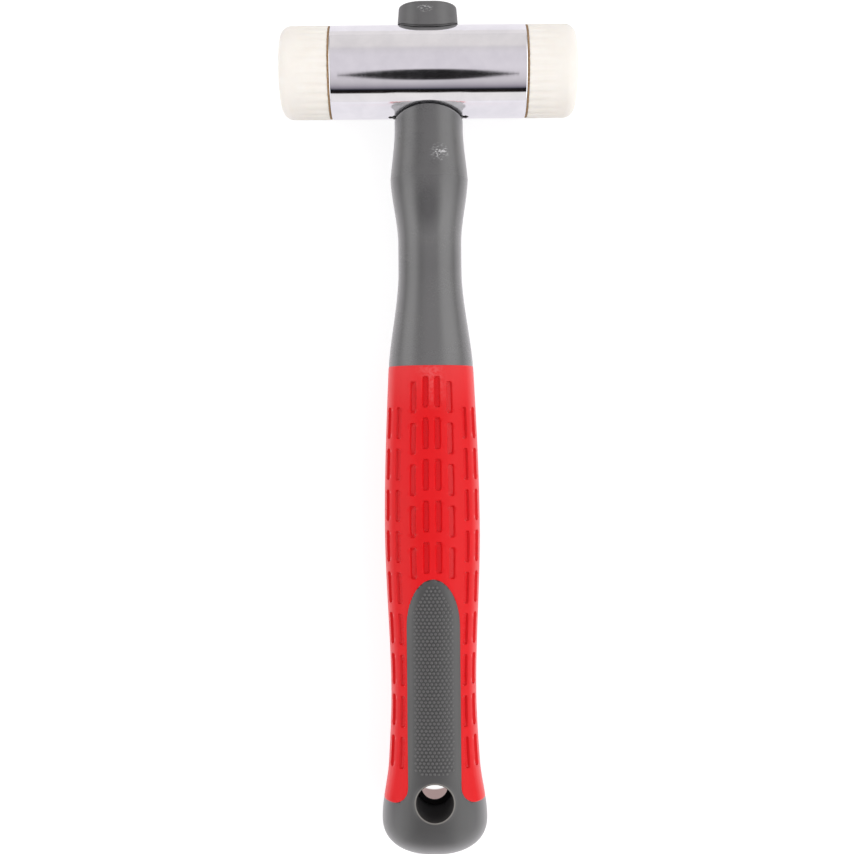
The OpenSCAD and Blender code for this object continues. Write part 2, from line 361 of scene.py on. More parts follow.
greyFinish = {
    "light": (0.107, 0.107, 0.106, 1),
    "dark": (0.088, 0.088, 0.088, 1),
    "cloudScale": 90.0,
    "grainScale": 4200.0,
    "rough": (0.21, 0.29),
    "bump": (0.16, 0.00006),
    "panel": (0.053, 0.053, 0.052, 1),   # painted shade on the tongue panels and round the hole
    "ground": (0.048, 0.048, 0.047, 1),  # painted shade between the panels' dots
    # the dots keep about the skin's own grey, lighter than the painted shade round them
    "dot": (0.100, 0.100, 0.098, 1),
    # near-black painted shade for the lanyard hole's wall and for the flash beside the neck
    "bore": (0.012, 0.010, 0.010, 1),
    # painted highlight round the lanyard hole's rim
    "rim": (0.21, 0.20, 0.18, 1),
    "rimHighlightRing": (0.25, 0.75),            # the painted highlight's two distances from the hole's wall
    # painted light on the neck: a painted highlight over the bulge below the ridge, painted shade at its
    # middle, and a paler middle on the neck above the sleeve, partly pale mottling and partly painted light:
    # middle, size and colour
    "patches": (((1.5, 54.0, 3.0), (22.0, 17.0, 20.0), (0.127, 0.127, 0.126, 1)),
                ((-0.6, 48.0, 10.6), (6.0, 12.0, 9.0), (0.068, 0.068, 0.068, 1)),
                ((0.0, 95.0, 11.5), (18.0, 38.0, 16.0), (0.120, 0.120, 0.119, 1))),
    # painted sheen: how far the skin turns away where it begins and is full, the most, and the pale colour
    "sheen": (0.28, 0.80, 0.56, (0.45, 0.45, 0.45, 1)),
    "sheenTop": 20.0,                    # it fades out from here up to the head's axis
    "scuff": (0.62, 0.62, 0.62, 1),      # rubbed marks: their colour, then the middle and size of each
    "scuffs": (((-1.0, -20.0, 8.3), (3.2, 1.5, 3.0)), ((3.6, 30.2, 10.2), (3.8, 3.4, 3.0))),
    "scratch": ((900.0, 2400.0, 900.0), (0, 0, 0.6)),  # scale and turn of the marks in a scuff
    "flash": ((13.4, 15.9, 0.9), 1.9),   # painted shade on the flash and the neck's corner beside it: middle on the right side, and radius
    # added roughness between two places below the head's axis: on the plug, above the ridge, on the grip
    "matt": ((0.0, -headRadius, 0.0, 0.16), (38.4, 37.6, 0.0, 0.04), (150.0, 90.0, 0.16, 0.0)),
    "boreMatt": 0.5,
}


def greyPlastic():
    # satin moulded plastic: soft cloudiness, fine grain, and rubbed marks at the gate and on the neck
    material, tree, shader, place = newFinish("greyPlastic")
    finish = greyFinish
    colour, rough, bump = mouldedSkin(tree, place, finish)
    # painted highlight and painted shade patches on the neck
    for centre, size, tone in finish["patches"]:
        colour = mixColour(tree, spotMask(tree, place, centre, size), colour, tone)
    along = alongHandle(tree, place)
    below = spread(tree, along, headY - finish["sheenTop"] * mm, headY, 1.0, 0.0)
    colour = paintedRimSheen(tree, colour, finish["sheen"], below)
    # painted shade over the tongue panels and between their dots; the dots keep about the skin's own grey
    for field in ("panel", "ground", "dot"):
        colour = mixColour(tree, fieldOf(tree, field), colour, finish[field])
    scratch = noiseOf(tree, stretched(tree, place, *finish["scratch"]), 1.0, detail=3.0, roughness=0.7)
    marks = spread(tree, scratch, 0.53, 0.62, 0.0, 1.0)
    for centre, size in finish["scuffs"]:
        mask = combine(tree, "MULTIPLY", spotMask(tree, place, centre, size), marks)
        colour = mixColour(tree, mask, colour, finish["scuff"])
    # painted shade: the flash beside the neck and the neck's corner next to it are darkened near-black; the
    # lanyard hole has a painted highlight round its rim and a wall painted near-black as shade, and dull
    (x, at, z), radius = finish["flash"]
    for side in (1, -1):
        mask = spotMask(tree, place, (side * x, at, z), (radius,) * 3, 0.8)
        colour = mixColour(tree, mask, colour, finish["bore"])
    hole = (0.0, holeShape["at"], 0.0)
    inner, outer = (holeShape["radius"] + ring for ring in finish["rimHighlightRing"])
    rimHighlight = spotMask(tree, place, hole, (outer, outer, endless), 0.94)
    bore = spotMask(tree, place, hole, (inner, inner, endless), 0.97)
    colour = mixColour(tree, bore, mixColour(tree, rimHighlight, colour, finish["rim"]), finish["bore"])
    for first, last, low, high in finish["matt"]:
        more = spread(tree, along, headY - first * mm, headY - last * mm, low, high)
        rough = combine(tree, "ADD", rough, more)
    rough = combine(tree, "ADD", rough, combine(tree, "MULTIPLY", bore, finish["boreMatt"]))
    finishShader(tree, shader, {"Base Color": colour, "Roughness": rough, "Normal": bump},
                 Specular_IOR_Level=0.72)
    return material


redFinish = {
    "light": (0.755, 0.003, 0.007, 1),
    "dark": (0.715, 0.002, 0.004, 1),
    "cloudScale": 70.0,
    "grainScale": 3600.0,
    "rough": (0.42, 0.54),
    "bump": (0.2, 0.00007),
    # painted shade on the slots' floors
    "slot": (0.70, 0.003, 0.007, 1),
    "slotSmooth": 0.2,             # how much less rough the slots' floors are
    "paleTint": (0.80, 0.13, 0.13, 1),  # its colour, then the middle and size of each patch
    "paleSpots": (((-0.4, 105.2, 12.6), (5.5, 3.4, 8)), ((1.2, 110.5, 13.0), (5.0, 9.0, 8))),
    "paleSpeckScale": 900.0,
    "haze": (103.6, 120.0, 0.20),  # pale from its top edge to here, and how much
    # painted sheen on the red skin, laid out as on the grey
    "sheen": (0.36, 0.85, 0.38, (1.0, 0.35, 0.35, 1)),
}


def redRubber():
    # soft overmould: matt, with a fine grain, paler towards its top edge and with pale specks near it
    material, tree, shader, place = newFinish("redRubber")
    finish = redFinish
    colour, rough, bump = mouldedSkin(tree, place, finish)
    top, end, most = finish["haze"]
    haze = spread(tree, alongHandle(tree, place), headY - end * mm, headY - top * mm, 0.0, most)
    colour = mixColour(tree, haze, colour, finish["paleTint"])
    speck = noiseOf(tree, place, finish["paleSpeckScale"], detail=5.0, roughness=0.7)
    speck = spread(tree, speck, 0.40, 0.68, 0.0, 0.8)
    for centre, size in finish["paleSpots"]:
        mask = combine(tree, "MULTIPLY", spotMask(tree, place, centre, size, 0.1), speck)
        colour = mixColour(tree, mask, colour, finish["paleTint"])
    # the slots' floors are painted darker as shade and are smoother than the skin, and their walls have no
    # painted sheen
    recess = fieldOf(tree, "recess")
    colour = paintedRimSheen(tree, colour, finish["sheen"], spread(tree, recess, 0.0, 0.05, 1.0, 0.0))
    colour = mixColour(tree, recess, colour, finish["slot"])
    rough = combine(tree, "SUBTRACT", rough, combine(tree, "MULTIPLY", recess, finish["slotSmooth"]))
    finishShader(tree, shader, {"Base Color": colour, "Roughness": rough, "Normal": bump},
                 Specular_IOR_Level=0.25, Sheen_Weight=0.14, Sheen_Roughness=0.3)
    return material


# head

barrelShape = {
    "bevel": 0.5,
    "eye": 8.0,            # radius of the eye's round ends
    "eyeStretch": 2.0,     # half the distance between their middles
    "eyeBevel": 0.4,
    "socket": 8.05,        # radius of the threaded sockets
    "socketDepth": 15.0,
    "mouth": 0.6,          # bevel at a socket's mouth
    "groove": 0.45,        # depth of the thread grooves in a socket
    "runOut": (1.5, 1.0),  # lengths over which they run out, at the floor and at the mouth
    "threadRows": 90,
    "window": 12.4,        # half length of the grid window round the eye
    "columns": 192,
}
threadShape = {"pitch": 2.0, "slope": 0.72}  # a slope over 0.5 leaves crests and roots flat


def turned(along, radius, angles):
    # surface of turning about the head: each row is a circle of that radius at its place along the head
    along, radius = np.asarray(along, float), np.asarray(radius, float)
    radius = radius[:, None] if radius.ndim == 1 else radius
    turn = np.radians(angles)
    return toFrame(along[:, None], radius * np.cos(turn), radius * np.sin(turn))


def stackRings(angles, *parts):
    # rows of radii one after another: a part has one radius for a whole ring, or one for every angle
    wide = np.ones(len(angles))
    parts = [np.asarray(part, float) for part in parts]
    return np.concatenate([part if part.ndim == 2 else part[:, None] * wide for part in parts])


def threadWave(along, angles):
    # 0 to 1 and back once in a pitch, along a right-hand helix, with soft-edged crests and roots
    phase = along[:, None] / threadShape["pitch"] - angles / 360
    return smoothStep(0.5 + threadShape["slope"] * np.cos(2 * np.pi * phase))


def barrelEnd(side, angles):
    # from the middle of a socket's floor out along its thread, over the end face and the bevel
    shape = barrelShape
    edge, socket = shape["bevel"], shape["socket"]
    floor, mouth = barrelHalf - shape["socketDepth"], barrelHalf - shape["mouth"]
    depth = np.linspace(floor, mouth, shape["threadRows"])
    inside, outside = shape["runOut"]
    ease = smoothStep((depth - floor) / inside) * smoothStep((mouth - depth) / outside)
    thread = socket + shape["groove"] * ease[:, None] * threadWave(side * depth, angles)
    flat = np.linspace(0, socket, 4)[:-1]
    face = np.linspace(socket + shape["mouth"], headRadius - edge, 5)[:-1]
    bend = np.radians(np.linspace(0, 90, 8))
    outer = headRadius - edge + edge * np.sin(bend)
    along = np.concatenate([np.full(len(flat), floor), depth, [mouth], np.full(len(face), barrelHalf),
                            barrelHalf - edge + edge * np.cos(bend)])
    return turned(side * along, stackRings(angles, flat, thread, [socket], face, outer), angles)


def makeBarrel(material):
    # bands of a cylinder, with a window above and below that rings fill from its rim to the eye
    shape = barrelShape
    angles = np.linspace(0, 360, shape["columns"] + 1)
    reach, stretch = shape["window"], shape["eyeStretch"]
    cut = int(round(np.degrees(np.arcsin(reach / headRadius)) / 360 * shape["columns"]))
    half = shape["columns"] // 2
    left = np.linspace(shape["bevel"] - barrelHalf, -reach, 9)
    middle = np.linspace(-reach, reach, 21)
    patches = [barrelEnd(1, angles), barrelEnd(-1, angles),
               turned(left, headRadius, angles), turned(-left, headRadius, angles),
               turned(middle, headRadius, angles[cut:half - cut + 1]),
               turned(middle, headRadius, angles[half + cut:2 * half - cut + 1])]
    # rings on the barrel from the window to the eye, then the eye's own wall
    window = np.concatenate([angles[-cut - 1:-1] - 360, angles[:cut + 1]])
    rimX, rimTurn = windowRim(middle, window)
    rimZ = headRadius * np.sin(np.radians(rimTurn))
    ringX, ringZ = towardsHole(rimX, rimZ, shape["eye"] + shape["eyeBevel"], 8, stretch)
    ringAt = np.sqrt(headRadius ** 2 - ringZ ** 2)
    eyeX, eyeZ = roundEnded(shape["eye"], np.arctan2(rimX, rimZ), stretch)
    eyeAt = np.sqrt(headRadius ** 2 - eyeZ ** 2) - shape["eyeBevel"]
    for side in (1, -1):
        patches.append(toFrame(ringX, side * ringAt, ringZ))
        patches.append(toFrame(between(ringX[-1], eyeX, 3), side * between(ringAt[-1], eyeAt, 3),
                               between(ringZ[-1], eyeZ, 3)))
    patches.append(toFrame(eyeX[None], between(eyeAt, -eyeAt, 9), eyeZ[None]))
    buildPiece("barrelChrome", patches, material, "hammer", "head_barrel")


faceShape = {
    "round": 4.0,        # round on the striking edge
    "flutes": 30,
    "fluteDepth": 0.34,
    "fluteRadius": 1.3,
    "fluteEnd": 11.5,    # length over which a flute runs out
    "backEdge": 0.15,    # round beside the washer
    "stud": 7.95,        # radius over the thread's crests
    "threadDepth": 1.0,
    "runOut": 1.5,       # length over which the thread begins
    "threadRows": 96,
    "studLength": 14.6,
    "studBevel": 1.2,
    "perFlute": 10,
}


def fluteDepthAt(along, angles):
    # a round-bottomed groove for each flute, deepest at the washer and running out along the rim
    step = 360 / faceShape["flutes"]
    away = np.radians((angles + step / 2) % step - step / 2) * headRadius
    groove = np.clip(1 - away ** 2 / (2 * faceShape["fluteRadius"] * faceShape["fluteDepth"]), 0, 1)
    fade = np.clip(1 - (np.clip(along, 0, None) / faceShape["fluteEnd"]) ** 3, 0, 1)
    return faceShape["fluteDepth"] * fade[:, None] * groove


def faceSurface(length, angles):
    # from the middle of the striking face over its rounded edge, along the fluted rim, down the threaded stud
    shape = faceShape
    edge, back, stud = shape["round"], shape["backEdge"], shape["stud"]
    bend = np.radians(np.linspace(0, 90, 16))
    backBend = bend[::-5]
    front = np.linspace(0, headRadius - edge, 7)[:-1]
    side = np.linspace(length - edge, back, 30)[1:-1]
    rim = np.concatenate([headRadius - edge + edge * np.sin(bend), np.full(len(side), headRadius),
                          headRadius - back + back * np.sin(backBend)])
    rimAlong = np.concatenate([length - edge + edge * np.cos(bend), side, back - back * np.cos(backBend)])
    fluted = rim[:, None] - fluteDepthAt(rimAlong, angles)
    rear = np.linspace(headRadius - back, stud, 5)[1:]
    depth = np.linspace(0, shape["studLength"], shape["threadRows"])[1:]
    runOut = smoothStep(depth / shape["runOut"])[:, None]
    root = shape["threadDepth"] * runOut * (1 - threadWave(-depth, angles))
    tip = np.clip(depth - shape["studLength"] + shape["studBevel"], 0, None)[:, None]
    thread = stud - np.maximum(root, tip)
    close = np.linspace(stud - shape["studBevel"] - shape["threadDepth"], 0, 4)
    along = np.concatenate([np.full(len(front), length), rimAlong, np.zeros(len(rear)), -depth,
                            np.full(len(close), -shape["studLength"])])
    return along, stackRings(angles, front, fluted, rear, thread, close)


def makeFace(side, material):
    low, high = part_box("right_face" if side > 0 else "left_face")
    washerFace = (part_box("right_washer")[1].x if side > 0 else -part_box("left_washer")[0].x) / mm
    length = (high.x if side > 0 else -low.x) / mm - washerFace
    angles = np.linspace(0, 360, faceShape["flutes"] * faceShape["perFlute"] + 1)
    along, radius = faceSurface(length, angles)
    name, body = ("faceRight", "right_face") if side > 0 else ("faceLeft", "left_face")
    # the left face is the right one turned half round, so that its thread keeps its hand
    patch = turned(side * (washerFace + along), radius, angles if side > 0 else 180 - angles)
    buildPiece(name, [patch], material, body, body)


washerShape = {"bore": 8.08, "inset": 0.15, "edge": 0.06, "columns": 144}


def makeWasher(side, material):
    # a flat ring with softened edges
    node = "right_washer" if side > 0 else "left_washer"
    low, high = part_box(node)
    inner, outer = sorted((abs(low.x) / mm, abs(high.x) / mm))
    edge, rim, bore = washerShape["edge"], headRadius - washerShape["inset"], washerShape["bore"]
    profile = np.array([(bore, inner + edge), (bore + edge, inner), (rim - edge, inner), (rim, inner + edge),
                        (rim, outer - edge), (rim - edge, outer), (bore + edge, outer), (bore, outer - edge),
                        (bore, inner + edge)])
    angles = np.linspace(0, 360, washerShape["columns"] + 1)
    name = "washerRight" if side > 0 else "washerLeft"
    patch = turned(side * profile[:, 1], profile[:, 0], angles)
    buildPiece(name, [patch], material, node, node)


# handle

handleShape = {
    # place below the head's axis, width and thickness of each station
    "stations": ((0, 24, 20.8), (20, 24, 20.8), (38.0, 27.2, 22.8), (60.5, 22.2, 19.6), (69.5, 22.2, 19.6),
                 (106, 30, 25.4), (160, 33.4, 28.2), (217, 29.9, 25.6), (242, 32, 26.2), (261.5, 36.8, 27)),
    "end": 274.2,
    "squareness": 2.2,      # of the section's superellipse
    "endSquareness": 2.3,   # of the butt's rounded end
    "ridge": 2,             # station of the ridge below the head, and the slopes above and below it
    "ridgeSlopes": (0.16, -0.08),
    "seatGap": 0.6,
    "neckRound": 1.0,       # softened edge where the neck meets the barrel
    "levelFrom": 24.0,      # rows follow the barrel's round above this place, and are level below it
    "tang": 7.95,           # radius of the tang's round ends
    "plug": 8.6,            # radius of the plug's round ends at its foot
    "plugTaper": 0.42,      # how much smaller it is at its top
    "stretch": 2.0,         # half the distance between the middles of the round ends
    "plugTop": 22.7,
    "plugRound": 0.8,
    "columns": 160,
    "rowStep": 1.3,
}
stationAt, stationWidth, stationDepth = np.array(handleShape["stations"], float).T


def stationCurve(at, sizes):
    # a cubic between neighbouring stations: level at swells and waists, elsewhere sloped by the harmonic
    # mean of the rises on either side, and broken at the ridge
    rises = np.diff(sizes) / np.diff(stationAt)
    product = rises[:-1] * rises[1:]
    total = np.where(product > 0, rises[:-1] + rises[1:], 1)
    slopes = np.concatenate([[0], np.where(product > 0, 2 * product / total, 0), [0]])
    before, after = slopes.copy(), slopes.copy()
    before[handleShape["ridge"]], after[handleShape["ridge"]] = handleShape["ridgeSlopes"]
    at = np.clip(at, 0, stationAt[-1])
    i = np.clip(np.searchsorted(stationAt, at, side="right") - 1, 0, len(sizes) - 2)
    long = stationAt[i + 1] - stationAt[i]
    t = (at - stationAt[i]) / long
    lean = after[i] * (1 - t) - before[i + 1] * t
    return sizes[i] + (sizes[i + 1] - sizes[i]) * smoothStep(t) + long * t * (1 - t) * lean


def halfSizes(at):
    # half width and half thickness; past its widest place the butt closes like a superellipse
    at = np.asarray(at, float)
    past = np.clip((at - stationAt[-1]) / (handleShape["end"] - stationAt[-1]), 0, 1)
    closing = (1 - past ** handleShape["endSquareness"]) ** (1 / handleShape["endSquareness"])
    return stationCurve(at, stationWidth) / 2 * closing, stationCurve(at, stationDepth) / 2 * closing


def skin(angle, at, under=0.0):
    # x and z on the handle's superellipse section: angle from the front in degrees, depth under the skin
    wide, thick = halfSizes(at)
    turn = np.radians(angle)
    share = 2 / handleShape["squareness"]
    across, up = np.sin(turn), np.cos(turn)
    x = (wide - under) * np.sign(across) * np.abs(across) ** share
    z = (thick - under) * np.sign(up) * np.abs(up) ** share
    return x, z


def frontHeight(x, at):
    # height of the front skin over a point of the front view
    wide, thick = halfSizes(at)
    power = handleShape["squareness"]
    return thick * np.clip(1 - (np.abs(x) / wide) ** power, 0, 1) ** (1 / power)


def angleAcross(x, at):
    # the section angle at which the skin lies x from the middle
    wide, _ = halfSizes(at)
    return np.degrees(np.arcsin(np.clip(x / wide, 0, 1) ** (handleShape["squareness"] / 2)))


def perDegree(angle, at):
    # millimetres along the skin for each degree of the section angle
    ahead, behind = skin(angle + 0.5, at), skin(angle - 0.5, at)
    return np.hypot(ahead[0] - behind[0], ahead[1] - behind[1])


sleeveShape = {
    "top": 103.6,
    "end": 254.4,
    "wall": 2.4,
    "edge": 0.45,           # width of its rounded edges
    "valley": 0.12,         # depth of the grey skin beside its edges
    "valleyWidth": 1.5,
    "sink": 0.06,           # depth of its edge under the grey skin there
    "coverWidth": 0.6,      # width over which the grey body steps down under it
    "clearance": 0.05,      # between it and the grey body
    "tip": 176.9,
    "tipLength": 16.5,
    "tongue": 9.2,          # half width of the tongue panel
    "lobe": 5.8,            # radius of the lower ends
    # grid lines near its top edge, near the tongue's tip and beside its long edges
    "topLines": (0, 0.1, 0.25, 0.45),
    "tipLines": (-0.45, -0.2, 0, 0.05, 0.2, 0.45, 0.8, 1.25, 1.8, 2.5, 3.4, 4.5, 6, 8, 10.5),
    "edgeLines": (0, 0.12, 0.28, 0.48),
    "rowGaps": (0.02, 1.6),   # least and most between rows, in millimetres
    "turnGaps": (0.02, 4.5),  # and between columns, in degrees
    "leastTurn": 2.0,         # lengths along the skin are read no nearer the middle than this, in degrees
}


def tongueHalf(at):
    # half width of the grey opening: half an ellipse at the tip, straight sides, then round the lobes
    shape = sleeveShape
    tip = np.clip((shape["tip"] + shape["tipLength"] - at) / shape["tipLength"], 0, 1)
    lobe = np.clip((at - shape["end"] + shape["lobe"]) / shape["lobe"], 0, 1)
    return shape["tongue"] * np.sqrt(1 - tip ** 2) + shape["lobe"] * (1 - np.sqrt(1 - lobe ** 2))


def insideSleeve(x, at):
    # distance inside the sleeve's outline in the front view, negative outside it
    shape = sleeveShape
    wide, long, round_ = shape["tongue"], shape["tipLength"], shape["lobe"]
    x = np.abs(x)
    up = np.clip(shape["tip"] + long - at, 0, None)
    reach = np.hypot(x / wide, up / long)
    slope = np.hypot(x / wide ** 2, up / long ** 2) / np.maximum(reach, 1e-9)
    tongue = (reach - 1) / np.maximum(slope, 1e-9)
    lobeX, lobeAt = wide + round_, shape["end"] - round_
    lobe = np.where(x < lobeX, round_ - np.hypot(x - lobeX, at - lobeAt), shape["end"] - at)
    return np.minimum(at - shape["top"], np.where(at > lobeAt, lobe, tongue))


def seatAt(z):
    # distance below the head's axis of a round just clear of the barrel
    return np.sqrt((headRadius + handleShape["seatGap"]) ** 2 - z ** 2)


def plugRows(angles):
    # rows of x, at and z from the middle of the plug's top over its edge, down its sides and through the eye
    shape = handleShape
    up, wide = np.cos(np.radians(angles)), np.ones(len(angles))
    top = shape["plug"] - shape["plugTaper"]
    flat = np.linspace(0, top - shape["plugRound"], 6)[:, None]
    bend = np.radians(np.linspace(0, 90, 10))[1:, None]
    edge = top - shape["plugRound"] * (1 - np.sin(bend))
    sides = np.linspace(top, shape["plug"], 7)[1:, None]
    foot = np.linspace(shape["plug"], shape["tang"], 4)[1:, None]
    radius = np.concatenate([flat, edge, sides, foot, np.full((6, 1), shape["tang"])])
    x, z = roundEnded(radius, np.radians(angles), shape["stretch"])
    tangAt = seatAt(z[-1])
    sidesFrom = (shape["plugRound"] - shape["plugTop"]) * wide
    at = np.concatenate([np.full((6, 1), -shape["plugTop"]) * wide,
                         (-shape["plugTop"] + shape["plugRound"] * (1 - np.cos(bend))) * wide,
                         between(sidesFrom, -seatAt(shape["plug"] * up), 7)[1:],
                         -seatAt(foot * up), between(-tangAt, tangAt, 7)[1:]])
    return x, at, z


def neckRows(angles, tangX, tangZ):
    # rows from the tang out along the seat on the barrel, then over the neck's softened upper edge
    shape = handleShape
    neckX, neckZ = skin(angles, 0.0)
    inX, inZ = skin(angles, 0.0, shape["neckRound"])
    seatX, seatZ = between(tangX, inX, 4)[1:], between(tangZ, inZ, 4)[1:]
    bend = np.radians(np.linspace(0, 90, 6))[1:, None]
    roundX, roundZ = inX + (neckX - inX) * np.sin(bend), inZ + (neckZ - inZ) * np.sin(bend)
    roundAt = seatAt(roundZ) + shape["neckRound"] * (1 - np.cos(bend))
    rows = ((seatX, roundX), (seatAt(seatZ), roundAt), (seatZ, roundZ))
    return [np.concatenate(pair) for pair in rows]


def gripRows(angles):
    # rows from the neck's edge down to the butt's end, sunk where the sleeve lies over them
    shape, sleeve, hole = handleShape, sleeveShape, holeShape
    wide = np.ones(len(angles))
    neckAt = seatAt(skin(angles, 0.0)[1]) + shape["neckRound"]
    stops = [shape["levelFrom"], stationAt[shape["ridge"]], sleeve["top"], hole["windowTop"],
             hole["windowEnd"]]
    runs = [np.linspace(first, last, int(np.ceil((last - first) / shape["rowStep"])) + 1)[1:]
            for first, last in zip(stops, stops[1:])]
    buttLength = shape["end"] - stationAt[-1]
    past = np.degrees(np.arcsin((hole["windowEnd"] - stationAt[-1]) / buttLength))
    turn = np.radians(np.linspace(past, 90, 26)[1:])
    places = np.concatenate(runs + [stationAt[-1] + buttLength * np.sin(turn)])[:, None]
    at = np.concatenate([between(neckAt, shape["levelFrom"] * wide, 9)[1:], places * wide])
    inside = insideSleeve(skin(angles, at)[0], at)
    cover = smoothStep((inside - sleeve["edge"]) / sleeve["coverWidth"])
    valley = sleeve["valley"] * smoothStep(1 + inside / sleeve["valleyWidth"])
    x, z = skin(angles, at, valley + (sleeve["wall"] + sleeve["clearance"] - valley) * cover)
    return x, at, z


def jacketRows(angles):
    # rows of x, at and z from the plug's top through the eye and down the handle to the butt's end
    plug = plugRows(angles)
    neck = neckRows(angles, plug[0][-1], plug[2][-1])
    return [np.concatenate(rows) for rows in zip(plug, neck, gripRows(angles))]


dotShape = {
    "pitch": 1.42,
    "radius": 0.50,
    "height": 0.36,
    "sink": 0.15,             # how far a dome reaches under the skin
    "dome": (0, 40, 68, 90),  # angles of its rings, from its top
    "sides": 8,
    "margin": 2.3,            # bare skin between the dots and the sleeve
    "end": 243.6,
    "corner": 1.8,
    "ground": 0.8,            # how far the painted shade between the dots reaches past them
}


def dotRoom(x, at):
    # distance inside the area of the panel that carries dots, negative outside it
    dots = dotShape
    side = np.clip(np.abs(x) - sleeveShape["tongue"] + dots["margin"] + dots["corner"], 0, None)
    corner = np.hypot(side, np.clip(at - dots["end"] + dots["corner"], 0, None))
    room = np.minimum(-insideSleeve(x, at) - dots["margin"], dots["corner"] - corner)
    return np.minimum(room, at - sleeveShape["tip"])


def panelDots():
    # low domes on a staggered lattice over the tongue panels, front and back
    dots, sleeve = dotShape, sleeveShape
    rowGap = dots["pitch"] * math.sqrt(3) / 2
    row = np.arange(int((dots["end"] - sleeve["tip"]) / rowGap))[:, None]
    reach = int(sleeve["tongue"] / dots["pitch"]) + 2
    x = (np.arange(-reach, reach + 1) + 0.5 * (row % 2)) * dots["pitch"]
    at = dots["end"] - row * rowGap + 0 * x
    keep = dotRoom(x, at) >= 0
    x, at = (values[keep][:, None, None] for values in (x, at))
    z = frontHeight(x, at)
    step = 0.05
    slopeX = (frontHeight(x + step, at) - frontHeight(x - step, at)) / (2 * step)
    slopeAt = (frontHeight(x, at + step) - frontHeight(x, at - step)) / (2 * step)
    bend = np.radians(dots["dome"])
    radius = dots["radius"] * np.concatenate([np.sin(bend), [1, 0]])[:, None]
    height = np.concatenate([dots["height"] * np.cos(bend), [-dots["sink"]] * 2])[:, None]
    turn = np.radians(np.linspace(0, 360, dots["sides"] + 1))
    offX, offAt = radius * np.cos(turn), radius * np.sin(turn)
    dotZ = z + slopeX * offX + slopeAt * offAt + height
    print("panel dots: %d on each side" % len(x))
    return [toFrame(x + offX, at + offAt, dotZ), toFrame(x + offX, at + offAt, -dotZ)]


flashShape = {"from": 11.4, "length": 2.8, "z": 0.9, "wide": 1.0, "thick": 0.30, "ragged": 0.3, "waves": 11}


def neckFlash(side):
    # a thin fin of squeezed-out plastic on the barrel beside the neck: an oval tube that closes to a point
    flash = flashShape
    share = np.concatenate([[0, 0], np.linspace(0.1, 1, 9)])[:, None]
    turn = np.radians(np.linspace(0, 360, 13))
    size = np.sqrt(1 - share) * (1 + flash["ragged"] * np.sin(flash["waves"] * share + side))
    size[0] = 0
    z = flash["z"] + flash["wide"] * size * np.cos(turn)
    at = np.sqrt(headRadius ** 2 - z ** 2) + flash["thick"] * size * (1 + np.sin(turn))
    return toFrame(side * (flash["from"] + flash["length"] * share), at, z)


def lanyardHole(rimX, rimAt, rimZ):
    # rings from the grid window to the hole's rounded rim, front and back, then the hole's wall
    hole = holeShape
    turn = np.arctan2(rimX, rimAt - hole["at"])
    bend = np.radians(np.linspace(0, 90, 8))[:, None]
    patches, mouths = [], []
    for side, radius in ((1, hole["radius"]), (-1, hole["backRadius"])):
        ringX, ringAt = towardsHole(rimX, rimAt - hole["at"], radius + hole["rim"], 13)
        outside = np.hypot(ringX, ringAt) - radius - hole["rim"]
        bead = hole["bead"] * smoothStep(1 - outside / hole["beadWidth"])
        ringZ = frontHeight(ringX, ringAt + hole["at"]) + bead
        ringZ[0] = rimZ
        bendX, bendAt = roundEnded(radius + hole["rim"] * (1 - np.sin(bend)), turn, 0.0)
        bendAt = bendAt + hole["at"]
        bendZ = frontHeight(bendX, bendAt) + hole["bead"] - hole["rim"] * (1 - np.cos(bend))
        patches += [toFrame(ringX, ringAt + hole["at"], side * ringZ), toFrame(bendX, bendAt, side * bendZ)]
        mouths.append((bendX[-1], bendAt[-1], side * bendZ[-1]))
    # down the wall, across the web and round its edge, and on down to the back
    radii = np.array([hole["radius"], hole["radius"], hole["web"], hole["web"], hole["backRadius"]])[:, None]
    upper, lower = hole["webSides"]
    heights = np.array([upper + hole["wallRow"], upper, upper, lower, lower])[:, None] + 0 * turn
    wallX, wallAt = roundEnded(radii, turn, 0.0)
    rows = zip(mouths[0], (wallX, wallAt + hole["at"], heights), mouths[1])
    return patches + [toFrame(*(np.vstack(row) for row in rows))]


# where the panels' painted shade lies: its top, side and end, each with its fade
panelShade = {"top": 160, "topFade": 10, "side": 16, "sideFade": 6, "end": 270, "endFade": 8}


def jacketFields(patches, dots):
    # how far each point lies in the panels' painted shade, in the painted shade between the dots, and on a
    # dot
    shade = panelShade
    panel, ground = [], []
    for patch in patches + dots:
        aside, along = np.abs(patch[..., 0]) / mm, (headY - patch[..., 1]) / mm
        panel.append(smoothStep((along - shade["top"]) / shade["topFade"])
                     * smoothStep((shade["side"] - aside) / shade["sideFade"])
                     * smoothStep((shade["end"] - along) / shade["endFade"]))
        ground.append(smoothStep(dotShape["ground"] + dotRoom(aside, along)))
    dot = [np.zeros(patch.shape[:-1]) for patch in patches] + [np.ones(patch.shape[:-1]) for patch in dots]
    return {"panel": panel, "ground": ground, "dot": dot}


def makeJacket(material):
    shape, hole = handleShape, holeShape
    angles = np.linspace(0, 360, shape["columns"] + 1)
    x, at, z = jacketRows(angles)
    first, last = (int(np.argmin(np.abs(at[:, 0] - hole[key]))) for key in ("windowTop", "windowEnd"))
    cut, half = hole["windowColumns"], shape["columns"] // 2
    grid = toFrame(x, at, z)
    patches = [grid[:first + 1], grid[last:], grid[first:last + 1, cut:half - cut + 1],
               grid[first:last + 1, half + cut:2 * half - cut + 1]]
    row, column = windowRim(np.arange(first, last + 1), np.arange(-cut, cut + 1))
    patches += lanyardHole(*(values[row, column % shape["columns"]] for values in (x, at, z)))
    patches += [neckFlash(1), neckFlash(-1)]
    dots = panelDots()
    buildPiece("handleGrey", patches + dots, material, "hammer", "handle_jacket",
               jacketFields(patches, dots))


